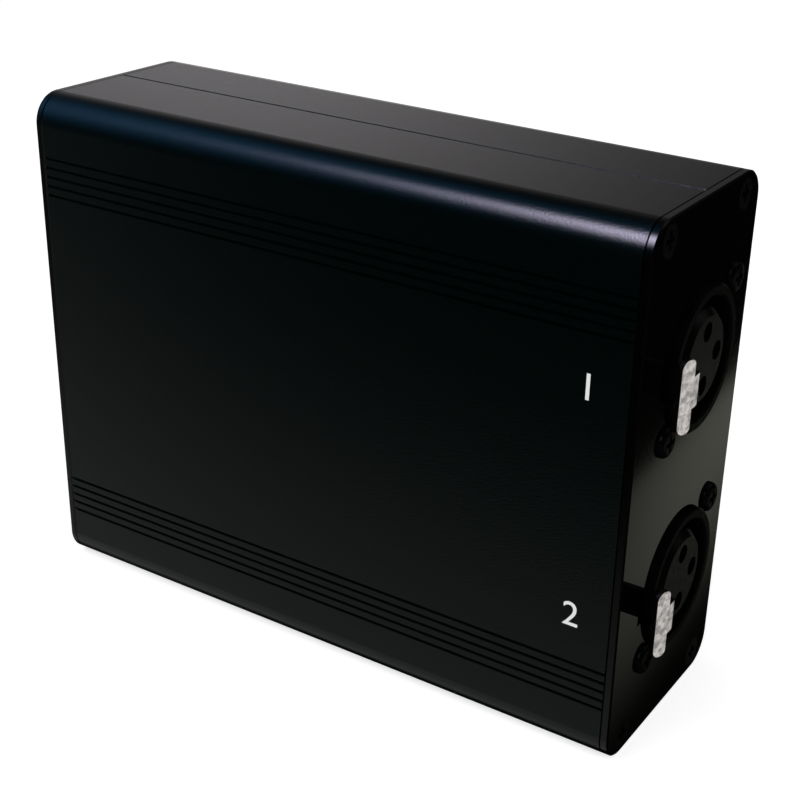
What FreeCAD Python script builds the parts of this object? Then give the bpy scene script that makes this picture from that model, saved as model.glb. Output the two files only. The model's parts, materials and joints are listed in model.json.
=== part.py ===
import FreeCAD, Part
import math
import os
import re
import Sketcher

# A small USB to DMX lighting interface. A split extruded aluminium case
# stands on its long narrow side. Two three-pin sockets with press latches
# look out of the end plate at +X, the USB socket out of the one at -X.
# X runs along the extrusion, Y through its depth, Z up. The origin is the
# middle of the face that the case stands on. Lengths are in millimetres.

Vector = FreeCAD.Vector
doc = FreeCAD.newDocument("usb_dmx_interface")

SIZES = {
    # Extruded case, in two equal halves
    "case_length": 110.0,
    "case_depth": 38.0,
    "case_height": 88.0,
    "corner_round": 5.0,
    "wall": 1.8,
    "seam_shift": 0.9,
    "seam_nick_width": 0.25,
    "seam_nick_depth": 0.6,
    "tongue_length": 1.5,
    "tongue_thick": 0.8,
    "tongue_gap": 0.1,
    # Fine grooves along the broad faces
    "groove_count": 5,
    "groove_pitch": 1.6,
    "groove_edge": 10.4,
    "groove_width": 0.55,
    "groove_depth": 0.4,
    # Screw channels and board guides inside the extrusion
    "channel_radius": 2.7,
    "channel_bore": 1.25,
    "channel_slot": 1.2,
    "guide_thick": 1.0,
    "guide_reach": 1.8,
    # End plates and their countersunk corner screws
    "plate_thick": 1.5,
    "plate_chamfer": 0.25,
    "corner_screw_inset": 5.5,
    "corner_screw_rise": 3.3,
    "corner_screw_shaft": 1.2,
    "corner_screw_head": 2.5,
    "corner_screw_length": 8.0,
    "corner_hole": 1.4,
    "recess_width": 0.8,
    "recess_span": 2.8,
    "recess_depth": 0.7,
    # Three-pin sockets: the moulded housing
    "socket_shift": 0.5,
    "socket_spacing": 37.6,
    "collar_radius": 11.5,
    "collar_proud": 1.5,
    "collar_edge": 0.35,
    "collar_bore": 9.6,
    "socket_depth": 13.2,
    "housing_depth": 18.0,
    "base_radius": 10.5,
    "flange_width": 26.0,
    "flange_thick": 3.0,
    "flange_round": 3.0,
    "plate_hole_gap": 0.15,
    # Socket screws, on one diagonal of the flange
    "socket_screw_y": 10.3,
    "socket_screw_z": 9.7,
    "socket_screw_shaft": 1.45,
    "socket_screw_head": 2.45,
    "socket_screw_crown": 1.5,
    "socket_screw_dome_share": 0.6,
    "socket_screw_hole": 1.65,
    "socket_screw_length": 10.0,
    "boss_radius": 3.2,
    "boss_depth": 11.0,
    "screw_gap": 0.05,
    # Socket insert with its contacts
    "insert_radius": 7.7,
    "insert_set_back": 0.1,
    "insert_chamfer": 1.0,
    "insert_flange_thick": 2.8,
    "insert_flange_gap": 0.1,
    "keyway_width": 2.2,
    "keyway_depth": 1.1,
    "contact_circle": 4.3,
    "contact_set_back": 2.0,
    "contact_radius": 1.5,
    "contact_bore": 1.22,
    "contact_bore_depth": 11.0,
    "contact_gap": 0.04,
    "contact_shoulder": 1.9,
    "contact_shoulder_thick": 0.8,
    "tail_radius": 1.1,
    "tail_length": 4.0,
    # Press latch of each socket, bent from sheet
    "latch_thick": 0.8,
    "latch_width": 5.0,
    "latch_slot_gap": 0.5,
    "latch_inner": 9.8,
    "latch_swing_room": 1.7,
    "latch_plate_notch": 12.4,
    "latch_pivot_depth": 9.5,
    "latch_pivot_offset": 11.2,
    "knuckle_radius": 1.6,
    "latch_pin_radius": 0.75,
    "latch_pin_gap": 0.05,
    "hook_reach": 1.1,
    "hook_depth": 1.2,
    "hook_length": 2.0,
    "tab_width": 11.5,
    "tab_depth": 2.6,
    "tab_rise": 4.8,
    "tab_slope": 20.0,
    "tab_offset": 12.2,
    "tab_drop": 0.45,
    "tab_outer_round_share": 0.55,
    "tab_inner_round_share": 0.35,
    "ear_thick": 2.0,
    "ear_length": 5.5,
    "ear_height": 2.2,
    # Leaf spring behind each latch
    "leaf_thick": 0.3,
    "leaf_width": 4.0,
    "leaf_reach": 4.3,
    # Circuit board and its guides
    "socket_to_board": 12.0,
    "board_end_gap": 0.5,
    "board_thick": 1.6,
    "board_channel_gap": 2.2,
    "board_gap": 0.1,
    "board_edge_gap": 0.2,
    "board_round": 0.6,
    # USB socket
    "usb_width": 12.0,
    "usb_height": 10.9,
    "usb_length": 16.0,
    "usb_proud": 0.3,
    "usb_sheet": 0.4,
    "usb_mouth_width": 8.5,
    "usb_mouth_height": 7.8,
    "usb_mouth_corner": 1.6,
    "usb_mouth_depth": 9.5,
    "usb_tongue_width": 5.6,
    "usb_tongue_height": 3.2,
    "usb_tongue_set_back": 1.2,
    "usb_contact_width": 1.0,
    "usb_contact_thick": 0.25,
    "usb_contact_length": 7.0,
    "usb_contact_pitch": 2.5,
    "usb_hole_gap": 0.2,
    # Status lamps beside the USB socket
    "led_radius": 1.5,
    "led_dome_share": 0.8,
    "led_rim": 1.9,
    "led_rim_thick": 1.0,
    "led_length": 4.6,
    "led_proud": 0.6,
    "led_leg": 0.5,
    "led_leg_pitch": 1.27,
    "led_lift": 2.6,
    "led_first": 17.0,
    "led_spacing": 8.0,
    "led_hole_gap": 0.1,
    # Lead sockets on the board and the leads to the contacts
    "plug_length": 8.0,
    "plug_width": 10.2,
    "plug_height": 6.0,
    "plug_edge": 3.0,
    "plug_round": 0.6,
    "plug_groove": 0.8,
    "lead_radius": 0.65,
    "lead_pitch": 2.5,
    "lead_lift": 3.0,
    "lead_straight": 2.4,
    "lead_bend_share": 0.45,
    # Parts on the board
    "chip_side": 10.0,
    "chip_height": 1.4,
    "chip_lift": 0.1,
    "chip_leg_reach": 1.0,
    "chip_leg_root": 0.5,
    "chip_leg_width": 0.35,
    "chip_leg_thick": 0.2,
    "chip_leg_pitch": 0.8,
    "chip_leg_count": 11,
    "chip_set_back": 38.5,
    "driver_length": 5.0,
    "driver_width": 3.9,
    "driver_height": 1.5,
    "driver_leg_pitch": 1.27,
    "driver_leg_width": 0.42,
    "driver_leg_count": 4,
    "driver_set_back": 16.0,
    "converter_length": 19.5,
    "converter_width": 7.2,
    "converter_height": 9.6,
    "converter_round": 0.5,
    "converter_gap": 1.2,
    "converter_rise": 16.2,
    "crystal_length": 11.0,
    "crystal_width": 4.6,
    "crystal_height": 3.4,
    "crystal_round": 2.2,
    "crystal_gap": 4.7,
    "can_radius": 3.1,
    "can_height": 7.5,
    "can_rim": 0.35,
    "can_gap": 1.5,
    "can_spacing": 9.0,
    "chip_part_length": 2.0,
    "chip_part_width": 1.2,
    "chip_part_height": 0.6,
    "chip_part_rows": 3,
    "chip_part_columns": 4,
    "chip_part_pitch": 3.4,
    "chip_part_inset": 16.5,
    "chip_part_drop": 16.2,
    # Cuts run past the faces by this much
    "overrun": 1.0,
}

# The driving dimensions live in a sheet: one named cell each.
sheet = doc.addObject("Spreadsheet::Sheet", "Sizes")
for row, (size_name, size_value) in enumerate(SIZES.items(), 1):
    sheet.set("A%d" % row, size_name)
    sheet.set("B%d" % row, str(size_value))
    sheet.setAlias("B%d" % row, size_name)
doc.recompute()


def formula(text):
    """Point every size name in a formula at its cell."""
    def cell(word):
        name = word.group()
        return "Sizes." + name if name in SIZES else name
    return re.sub(r"[a-z]\w*", cell, text)


def value(text):
    """Work a formula out from the sheet as a plain number."""
    return float(doc.getObject("Sizes").evalExpression(formula(text)))


def bind(thing, path, text):
    """Tie one property to a formula, and leave plain zeros as they are."""
    if text != "0":
        thing.setExpression(path, formula(text))


NODES = {}


def place(thing, x, y, z):
    """Set a node's position from formulas."""
    thing.Placement.Base = Vector(value(x), value(y), value(z))
    bind(thing, "Placement.Base.x", x)
    bind(thing, "Placement.Base.y", y)
    bind(thing, "Placement.Base.z", z)


def new_body(label, x="0", y="0", z="0"):
    """Start a body that becomes the node called label."""
    body = doc.addObject("PartDesign::Body", label)
    body.Label = label
    body.AllowCompound = True
    place(body, x, y, z)
    NODES[label] = body
    return body


def origin_feature(body, role):
    """Find one of a body's own origin planes or axes."""
    return [item for item in body.Origin.OriginFeatures if item.Role == role][0]


def new_sketch(body, name, plane, offset="0"):
    """Put a sketch on an origin plane, moved along that plane's normal."""
    sketch = body.newObject("Sketcher::SketchObject", body.Label + "_" + name)
    sketch.AttachmentSupport = [(origin_feature(body, plane), "")]
    sketch.MapMode = "FlatFace"
    sketch.AttachmentOffset.Base = Vector(0, 0, value(offset))
    bind(sketch, "AttachmentOffset.Base.z", offset)
    return sketch


def pin_point(sketch, geometry, point, x, y):
    """Hold a point of the sketch at a place given by two formulas."""
    if x == "0":
        sketch.addConstraint(Sketcher.Constraint("PointOnObject", geometry, point, -2))
    else:
        row = sketch.addConstraint(
            Sketcher.Constraint("DistanceX", -1, 1, geometry, point, value(x)))
        bind(sketch, "Constraints[%d]" % row, x)
    if y == "0":
        sketch.addConstraint(Sketcher.Constraint("PointOnObject", geometry, point, -1))
    else:
        row = sketch.addConstraint(
            Sketcher.Constraint("DistanceY", -1, 1, geometry, point, value(y)))
        bind(sketch, "Constraints[%d]" % row, y)


def set_radius(sketch, geometry, radius):
    """Give a circle or an arc its radius."""
    row = sketch.addConstraint(Sketcher.Constraint("Radius", geometry, value(radius)))
    bind(sketch, "Constraints[%d]" % row, radius)


def circle(sketch, x, y, radius):
    """Draw a circle about a point."""
    centre = Vector(value(x), value(y), 0)
    ring = Part.Circle(centre, Vector(0, 0, 1), value(radius))
    geometry = sketch.addGeometry(ring, False)
    pin_point(sketch, geometry, 3, x, y)
    set_radius(sketch, geometry, radius)


def outline(sketch, corners):
    """Draw a closed outline. A third entry in a corner rounds it."""
    spots = [Vector(value(corner[0]), value(corner[1]), 0) for corner in corners]
    count = len(corners)
    leave = []
    reach = []
    centres = []
    for index, corner in enumerate(corners):
        here = spots[index]
        if len(corner) == 2:
            reach.append(here)
            leave.append(here)
            centres.append(None)
            continue
        back = (spots[index - 1] - here).normalize()
        ahead = (spots[(index + 1) % count] - here).normalize()
        half = back.getAngle(ahead) / 2
        radius = value(corner[2])
        reach.append(here + back * (radius / math.tan(half)))
        leave.append(here + ahead * (radius / math.tan(half)))
        centres.append(here + (back + ahead).normalize() * (radius / math.sin(half)))
    lines = []
    for index in range(count):
        edge = Part.LineSegment(leave[index], reach[(index + 1) % count])
        lines.append(sketch.addGeometry(edge, False))
    for index, corner in enumerate(corners):
        before = lines[index - 1]
        after = lines[index]
        if len(corner) == 2:
            sketch.addConstraint(Sketcher.Constraint("Coincident", before, 2, after, 1))
            pin_point(sketch, after, 1, corner[0], corner[1])
            continue
        spokes = [reach[index] - centres[index], leave[index] - centres[index]]
        counter_clockwise = spokes[0].cross(spokes[1]).z > 0
        if not counter_clockwise:
            spokes.reverse()
        angles = [math.atan2(spoke.y, spoke.x) for spoke in spokes]
        if angles[1] < angles[0]:
            angles[1] += 2 * math.pi
        ring = Part.Circle(centres[index], Vector(0, 0, 1), value(corner[2]))
        arc = sketch.addGeometry(Part.ArcOfCircle(ring, angles[0], angles[1]), False)
        ends = (1, 2) if counter_clockwise else (2, 1)
        sketch.addConstraint(Sketcher.Constraint("Tangent", before, 2, arc, ends[0]))
        sketch.addConstraint(Sketcher.Constraint("Tangent", arc, ends[1], after, 1))
        set_radius(sketch, arc, corner[2])
        mark = sketch.addGeometry(Part.Point(spots[index]), True)
        sketch.addConstraint(Sketcher.Constraint("PointOnObject", mark, 1, before))
        sketch.addConstraint(Sketcher.Constraint("PointOnObject", mark, 1, after))
        pin_point(sketch, mark, 1, corner[0], corner[1])


def rectangle(sketch, low_x, low_y, high_x, high_y, radius=None):
    """Draw a rectangle between two corners, rounded if a radius is given."""
    corners = [(low_x, low_y), (high_x, low_y), (high_x, high_y), (low_x, high_y)]
    if radius:
        corners = [corner + (radius,) for corner in corners]
    outline(sketch, corners)


def centred_rectangle(sketch, x, y, width, height, radius=None):
    """Draw a rectangle about its middle."""
    rectangle(
        sketch,
        "%s - (%s) / 2" % (x, width), "%s - (%s) / 2" % (y, height),
        "%s + (%s) / 2" % (x, width), "%s + (%s) / 2" % (y, height), radius)


def pad(body, sketch, length, both_ways=False, backwards=False):
    """Add an extrusion of the sketch to the body."""
    feature = body.newObject("PartDesign::Pad", sketch.Name + "_pad")
    feature.Profile = sketch
    feature.SideType = "Symmetric" if both_ways else "One side"
    feature.Reversed = backwards
    feature.setExpression("Length", formula(length))
    return feature


def cut(body, sketch, length=None, both_ways=False, backwards=False):
    """Cut the sketch out of the body, right through if no length is given."""
    feature = body.newObject("PartDesign::Pocket", sketch.Name + "_cut")
    feature.Profile = sketch
    feature.Reversed = backwards
    if length is None:
        feature.SideType = "Symmetric"
        feature.Type = "ThroughAll"
    else:
        feature.SideType = "Symmetric" if both_ways else "One side"
        feature.setExpression("Length", formula(length))
    return feature


def turn(body, sketch, kind="Revolution"):
    """Spin the sketch about the body's X axis, to add or to cut."""
    feature = body.newObject("PartDesign::" + kind, sketch.Name + "_turn")
    feature.Profile = sketch
    feature.ReferenceAxis = (origin_feature(body, "X_Axis"), [""])
    feature.Angle = 360
    return feature


def repeat_line(body, features, role, length, count, role_2=None, length_2=None,
                count_2=None):
    """Repeat features along one axis, or over a grid along two."""
    pattern = body.newObject("PartDesign::LinearPattern", features[0].Name + "_row")
    pattern.Originals = features
    pattern.Direction = (origin_feature(body, role), [""])
    pattern.setExpression("Length", formula(length))
    pattern.setExpression("Occurrences", formula(count))
    if role_2:
        pattern.Direction2 = (origin_feature(body, role_2), [""])
        pattern.setExpression("Length2", formula(length_2))
        pattern.setExpression("Occurrences2", formula(count_2))
    body.Tip = pattern
    return pattern


def dress(body, kind, size, wanted):
    """Round or chamfer the edges of the body so far that wanted picks."""
    doc.recompute()
    base = body.Tip
    names = ["Edge%d" % (index + 1)
             for index, edge in enumerate(base.Shape.Edges) if wanted(edge)]
    feature = body.newObject("PartDesign::" + kind, "%s_%s" % (body.Label, kind))
    feature.Base = (base, names)
    path = "Radius" if kind == "Fillet" else "Size"
    feature.setExpression(path, formula(size))
    return feature


# Case

SCREW_Y = "(case_depth / 2 - corner_screw_inset)"
PLATE_FACE = "(case_length / 2 + plate_thick)"
BOARD_Y = "(%s - channel_radius - board_channel_gap - board_thick / 2)" % SCREW_Y


def make_shell(label, turned):
    """One half of the split extrusion. Both halves have the same section."""
    body = new_body(label)
    if turned:
        body.Placement = FreeCAD.Placement(
            Vector(0, 0, value("case_height")), FreeCAD.Rotation(Vector(1, 0, 0), 180))
        bind(body, "Placement.Base.z", "case_height")
    inner = "corner_round - wall"
    section = new_sketch(body, "section", "YZ_Plane")
    outline(section, [
        ("seam_shift", "case_height"),
        ("-case_depth / 2", "case_height", "corner_round"),
        ("-case_depth / 2", "0", "corner_round"),
        ("-seam_shift", "0"),
        ("-seam_shift", "wall"),
        ("wall - case_depth / 2", "wall", inner),
        ("wall - case_depth / 2", "case_height - wall", inner),
        ("seam_shift", "case_height - wall"),
    ])
    pad(body, section, "case_length", both_ways=True)

    # Two groups of fine grooves along the broad face
    groove = new_sketch(body, "grooves", "YZ_Plane")
    for middle in ("groove_edge",
                   "case_height - groove_edge - groove_pitch * (groove_count - 1)"):
        outline(groove, [
            ("-case_depth / 2", middle + " - groove_width / 2"),
            ("groove_depth - case_depth / 2", middle + " - groove_width / 6"),
            ("groove_depth - case_depth / 2", middle + " + groove_width / 6"),
            ("-case_depth / 2", middle + " + groove_width / 2"),
        ])
    first = cut(body, groove)
    repeat_line(body, [first], "Z_Axis", "groove_pitch * (groove_count - 1)", "groove_count")

    # Tongue along the top edge, and the rebate that takes the other half's
    tongue = new_sketch(body, "tongue", "YZ_Plane")
    rectangle(tongue, "seam_shift - wall", "case_height - wall",
              "seam_shift + tongue_length", "case_height - wall + tongue_thick")
    pad(body, tongue, "case_length", both_ways=True)
    rebate = new_sketch(body, "rebate", "YZ_Plane")
    rectangle(rebate, "-seam_shift - tongue_length - tongue_gap", "wall - tongue_thick - tongue_gap",
              "overrun - seam_shift", "wall + overrun")
    cut(body, rebate)

    # Steep chamfers leave a fine dark line along the seam on both narrow sides
    for name, edge_y, face_z, inward in (
            ("seam_top", "seam_shift", "case_height", "-"),
            ("seam_foot", "-seam_shift", "0", "+")):
        nick = new_sketch(body, name, "YZ_Plane")
        inner_z = "%s %s seam_nick_depth" % (face_z, inward)
        if face_z == "0":
            inner_z = "seam_nick_depth"
        outline(nick, [
            (edge_y, face_z),
            (edge_y + " - seam_nick_width", face_z),
            (edge_y, inner_z),
        ])
        cut(body, nick)

    # Guides for the board, and round channels for the plate screws
    guides = new_sketch(body, "guides", "YZ_Plane")
    for low_z, high_z in (("wall / 2", "wall + guide_reach"),
                          ("case_height - wall - guide_reach", "case_height - wall / 2")):
        outer = "-%s - board_thick / 2 - board_gap" % BOARD_Y
        rectangle(guides, outer + " - guide_thick", low_z, outer, high_z)
        inner_side = "board_thick / 2 + board_gap - " + BOARD_Y
        rectangle(guides, inner_side, low_z, inner_side + " + guide_thick", high_z)
    pad(body, guides, "case_length", both_ways=True)
    channels = new_sketch(body, "channels", "YZ_Plane")
    bores = ("corner_screw_rise", "case_height - corner_screw_rise")
    for middle in bores:
        circle(channels, "-" + SCREW_Y, middle, "channel_radius")
    pad(body, channels, "case_length", both_ways=True)
    holes = new_sketch(body, "channel_holes", "YZ_Plane")
    for middle in bores:
        circle(holes, "-" + SCREW_Y, middle, "channel_bore")
    cut(body, holes)
    slots = new_sketch(body, "channel_slots", "YZ_Plane")
    for middle in bores:
        rectangle(slots, "-" + SCREW_Y, middle + " - channel_slot / 2",
                  "channel_radius + overrun - " + SCREW_Y, middle + " + channel_slot / 2")
    cut(body, slots)


def make_plate(label, side):
    """An end plate: the case outline with four countersunk corner holes."""
    body = new_body(label, side + PLATE_FACE)
    if side == "-":
        body.Placement.Rotation = FreeCAD.Rotation(Vector(0, 0, 1), 180)
    face = new_sketch(body, "outline", "YZ_Plane")
    rectangle(face, "-case_depth / 2", "0", "case_depth / 2", "case_height", "corner_round")
    pad(body, face, "plate_thick", backwards=True)
    dress(body, "Chamfer", "plate_chamfer", lambda edge: True)
    doc.recompute()
    marks = new_sketch(body, "corner_marks", "YZ_Plane")
    for side_y in ("", "-"):
        for middle in ("corner_screw_rise", "case_height - corner_screw_rise"):
            circle(marks, side_y + SCREW_Y, middle, "corner_hole")
    doc.recompute()
    hole = body.newObject("PartDesign::Hole", label + "_corner_holes")
    hole.Profile = marks
    doc.recompute()
    hole.Threaded = False
    hole.ThreadType = "None"
    hole.DepthType = "ThroughAll"
    hole.HoleCutType = "Countersink"
    hole.setExpression("Diameter", formula("2 * corner_hole"))
    hole.setExpression("HoleCutDiameter", formula("2 * (corner_screw_head + 2 * screw_gap)"))
    hole.HoleCutCountersinkAngle = 90
    doc.recompute()
    return body


def make_plate_screws(label, side):
    """Four countersunk screws with cross recesses, one solid each."""
    body = new_body(label, side + PLATE_FACE)
    if side == "-":
        body.Placement.Rotation = FreeCAD.Rotation(Vector(0, 0, 1), 180)
    foot = "-corner_screw_length"
    y = "-" + SCREW_Y
    z = "corner_screw_rise"
    shaft = new_sketch(body, "shaft", "YZ_Plane", "-screw_gap")
    circle(shaft, y, z, "corner_screw_shaft")
    shaft_pad = pad(body, shaft, "corner_screw_length", backwards=True)
    head = new_sketch(body, "head", "YZ_Plane", "-screw_gap")
    circle(head, y, z, "corner_screw_head")
    head_pad = pad(body, head, "corner_screw_head - corner_screw_shaft", backwards=True)
    head_pad.TaperAngle = -45
    recess = new_sketch(body, "recess", "YZ_Plane", "-screw_gap")
    centred_rectangle(recess, y, z, "recess_span", "recess_width")
    recess_cut = cut(body, recess, "recess_depth")
    recess_2 = new_sketch(body, "recess_across", "YZ_Plane", "-screw_gap")
    centred_rectangle(recess_2, y, z, "recess_width", "recess_span")
    recess_cut_2 = cut(body, recess_2, "recess_depth")
    repeat_line(body, [shaft_pad, head_pad, recess_cut, recess_cut_2], "Y_Axis",
                "2 * " + SCREW_Y, "2", "Z_Axis", "case_height - 2 * corner_screw_rise", "2")


for shell_label, is_turned in (("front_shell", False), ("back_shell", True)):
    make_shell(shell_label, is_turned)
socket_plate = make_plate("socket_end_plate", "")
usb_plate = make_plate("usb_end_plate", "-")
make_plate_screws("socket_plate_screws", "")
make_plate_screws("usb_plate_screws", "-")

# Three-pin sockets

UPPER_Z = "case_height / 2 + socket_spacing / 2"
LOWER_Z = "case_height / 2 - socket_spacing / 2"
INNER_FACE = "-plate_thick"


def socket_body(label, z):
    """Start a socket piece: local X = 0 is the outer face of the end plate."""
    return new_body(label, PLATE_FACE, "socket_shift", z)


def open_socket_plate(body):
    """Cut the places of both sockets, of their latches and of their screws."""
    holes = new_sketch(body, "socket_holes", "YZ_Plane")
    notches = new_sketch(body, "latch_notches", "YZ_Plane")
    screw_holes = new_sketch(body, "socket_screw_holes", "YZ_Plane")
    for z in (UPPER_Z, LOWER_Z):
        circle(holes, "socket_shift", z, "collar_radius + plate_hole_gap")
        rectangle(notches, "socket_shift - latch_plate_notch",
                  z + " - latch_width / 2 - latch_slot_gap",
                  "socket_shift", z + " + latch_width / 2 + latch_slot_gap")
        for side in (" + ", " - "):
            circle(screw_holes, "socket_shift" + side + "socket_screw_y",
                   z + side + "socket_screw_z", "socket_screw_hole")
    for sketch in (holes, notches, screw_holes):
        cut(body, sketch)


def make_housing(name, z):
    """Moulded socket housing with collar, flange, screw bosses and ears."""
    body = socket_body(name + "_socket_housing", z)
    profile = new_sketch(body, "profile", "XY_Plane")
    outline(profile, [
        ("collar_proud - collar_edge", "collar_radius"),
        ("collar_proud", "collar_radius - collar_edge"),
        ("collar_proud", "collar_bore + collar_edge"),
        ("collar_proud - collar_edge", "collar_bore"),
        ("-socket_depth", "collar_bore"),
        ("-socket_depth", "base_radius"),
        ("-housing_depth", "base_radius"),
        ("-housing_depth", "collar_radius"),
    ])
    turn(body, profile)
    flange = new_sketch(body, "flange", "YZ_Plane", INNER_FACE)
    centred_rectangle(flange, "0", "0", "flange_width", "flange_width", "flange_round")
    pad(body, flange, "flange_thick", backwards=True)
    bosses = new_sketch(body, "bosses", "YZ_Plane", INNER_FACE)
    for side in ("", "-"):
        circle(bosses, side + "socket_screw_y", side + "socket_screw_z", "boss_radius")
    pad(body, bosses, "boss_depth - plate_thick", backwards=True)
    ears = new_sketch(body, "ears", "XY_Plane")
    rectangle(ears, "-latch_pivot_depth - ear_length / 2", "-latch_pivot_offset - ear_height",
              "ear_length / 2 - latch_pivot_depth", "knuckle_radius - latch_pivot_offset")
    pad(body, ears, "latch_width + 2 * (latch_slot_gap + ear_thick)", both_ways=True)
    bore = new_sketch(body, "bore", "YZ_Plane", INNER_FACE)
    circle(bore, "0", "0", "collar_bore")
    cut(body, bore, "socket_depth - plate_thick")
    slot = new_sketch(body, "latch_slot", "XY_Plane")
    rectangle(slot, "-latch_pivot_depth - knuckle_radius - latch_swing_room",
              "-flange_width / 2 - overrun", "collar_proud + overrun", "-collar_bore + overrun")
    cut(body, slot, "latch_width + 2 * latch_slot_gap", both_ways=True)
    pin_holes = new_sketch(body, "pin_holes", "XY_Plane")
    circle(pin_holes, "-latch_pivot_depth", "-latch_pivot_offset", "latch_pin_radius + screw_gap / 2")
    cut(body, pin_holes)
    screw_holes = new_sketch(body, "screw_holes", "YZ_Plane", INNER_FACE)
    for side in ("", "-"):
        circle(screw_holes, side + "socket_screw_y", side + "socket_screw_z",
               "socket_screw_shaft + screw_gap")
    cut(body, screw_holes)


def contact_circles(sketch, radius):
    """Draw the three contact places of a socket: two in line, one across."""
    for y, z in (("0", "contact_circle"), ("contact_circle", "0"), ("0", "-contact_circle")):
        circle(sketch, y, z, radius)


def make_insert(name, z):
    """Round insert with three contact holes, a keyway and a rear flange."""
    body = socket_body(name + "_socket_insert", z)
    face = "(collar_proud - insert_set_back)"
    profile = new_sketch(body, "profile", "XY_Plane")
    outline(profile, [
        (face, "0"),
        (face, "insert_radius - insert_chamfer"),
        (face + " - insert_chamfer", "insert_radius"),
        ("-socket_depth", "insert_radius"),
        ("-socket_depth", "base_radius - insert_flange_gap"),
        ("-socket_depth - insert_flange_thick", "base_radius - insert_flange_gap"),
        ("-socket_depth - insert_flange_thick", "0"),
    ])
    turn(body, profile)
    keyway = new_sketch(body, "keyway", "YZ_Plane", face)
    rectangle(keyway, "-insert_radius - overrun", "-keyway_width / 2",
              "keyway_depth - insert_radius", "keyway_width / 2")
    cut(body, keyway, "socket_depth + collar_proud - insert_set_back")
    holes = new_sketch(body, "holes", "YZ_Plane")
    contact_circles(holes, "contact_radius + contact_gap")
    cut(body, holes)


CONTACT_FRONT = "(collar_proud - insert_set_back - contact_set_back)"
CONTACT_BACK = "(-socket_depth - insert_flange_thick)"


def make_contacts(name, z):
    """Three tubular contacts, each with a rear shoulder and a solder tail."""
    body = socket_body(name + "_socket_contacts", z)
    tube = new_sketch(body, "tube", "YZ_Plane", CONTACT_FRONT)
    contact_circles(tube, "contact_radius")
    pad(body, tube, CONTACT_FRONT + " - " + CONTACT_BACK, backwards=True)
    shoulder = new_sketch(body, "shoulder", "YZ_Plane", CONTACT_BACK)
    contact_circles(shoulder, "contact_shoulder")
    pad(body, shoulder, "contact_shoulder_thick", backwards=True)
    tail = new_sketch(body, "tail", "YZ_Plane", CONTACT_BACK)
    contact_circles(tail, "tail_radius")
    pad(body, tail, "tail_length", backwards=True)
    bore = new_sketch(body, "bore", "YZ_Plane", CONTACT_FRONT)
    contact_circles(bore, "contact_bore")
    cut(body, bore, "contact_bore_depth")


def make_latch(name, z):
    """Press latch: a knuckle, an arm with a hook, and a slanted tab."""
    body = socket_body(name + "_latch", z)
    arm = new_sketch(body, "arm", "XY_Plane")
    outer = "(-latch_inner - latch_thick)"
    outline(arm, [
        ("-latch_pivot_depth", outer),
        ("tab_rise - latch_thick", outer, "latch_thick / 3"),
        ("tab_rise - latch_thick", "latch_thick * tan(tab_slope / 2) - tab_offset"),
        ("tab_rise - latch_thick * cos(tab_slope) - tab_depth / 2 * sin(tab_slope)",
         "latch_thick * sin(tab_slope) - tab_offset - tab_depth / 2 * cos(tab_slope)"),
        ("tab_rise - tab_depth / 2 * sin(tab_slope)",
         "-tab_offset - tab_depth / 2 * cos(tab_slope)"),
        ("tab_rise", "-tab_offset"),
        ("tab_rise", "-latch_inner", "latch_thick"),
        ("-hook_length / 2", "-latch_inner"),
        ("-hook_length", "hook_reach - latch_inner"),
        ("-hook_length - hook_depth", "hook_reach - latch_inner"),
        ("-hook_length - hook_depth", "-latch_inner"),
        ("-latch_pivot_depth", "-latch_inner"),
    ])
    pad(body, arm, "latch_width", both_ways=True)
    knuckle = new_sketch(body, "knuckle", "XY_Plane")
    circle(knuckle, "-latch_pivot_depth", "-latch_pivot_offset", "knuckle_radius")
    pad(body, knuckle, "latch_width", both_ways=True)
    tab = new_sketch(body, "tab", "YZ_Plane", "tab_rise")
    tab.AttachmentOffset.Base.x = -value("tab_offset")
    bind(tab, "AttachmentOffset.Base.x", "-tab_offset")
    tab.AttachmentOffset.Rotation = FreeCAD.Rotation(Vector(0, -1, 0), value("tab_slope"))
    bind(tab, "AttachmentOffset.Rotation.Angle", "tab_slope")
    outline(tab, [
        ("-tab_depth", "-tab_drop - tab_width / 2", "tab_depth * tab_outer_round_share"),
        ("0", "-tab_drop - tab_width / 2", "tab_depth * tab_inner_round_share"),
        ("0", "tab_width / 2 - tab_drop", "tab_depth * tab_inner_round_share"),
        ("-tab_depth", "tab_width / 2 - tab_drop", "tab_depth * tab_outer_round_share"),
    ])
    pad(body, tab, "latch_thick", backwards=True)
    eye = new_sketch(body, "eye", "XY_Plane")
    circle(eye, "-latch_pivot_depth", "-latch_pivot_offset", "latch_pin_radius + latch_pin_gap")
    cut(body, eye)


def make_latch_pin(name, z):
    """Steel pin that the latch turns on."""
    body = socket_body(name + "_latch_pin", z)
    shaft = new_sketch(body, "shaft", "XY_Plane")
    circle(shaft, "-latch_pivot_depth", "-latch_pivot_offset", "latch_pin_radius")
    pad(body, shaft, "latch_width + 2 * (latch_slot_gap + ear_thick)", both_ways=True)


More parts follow.
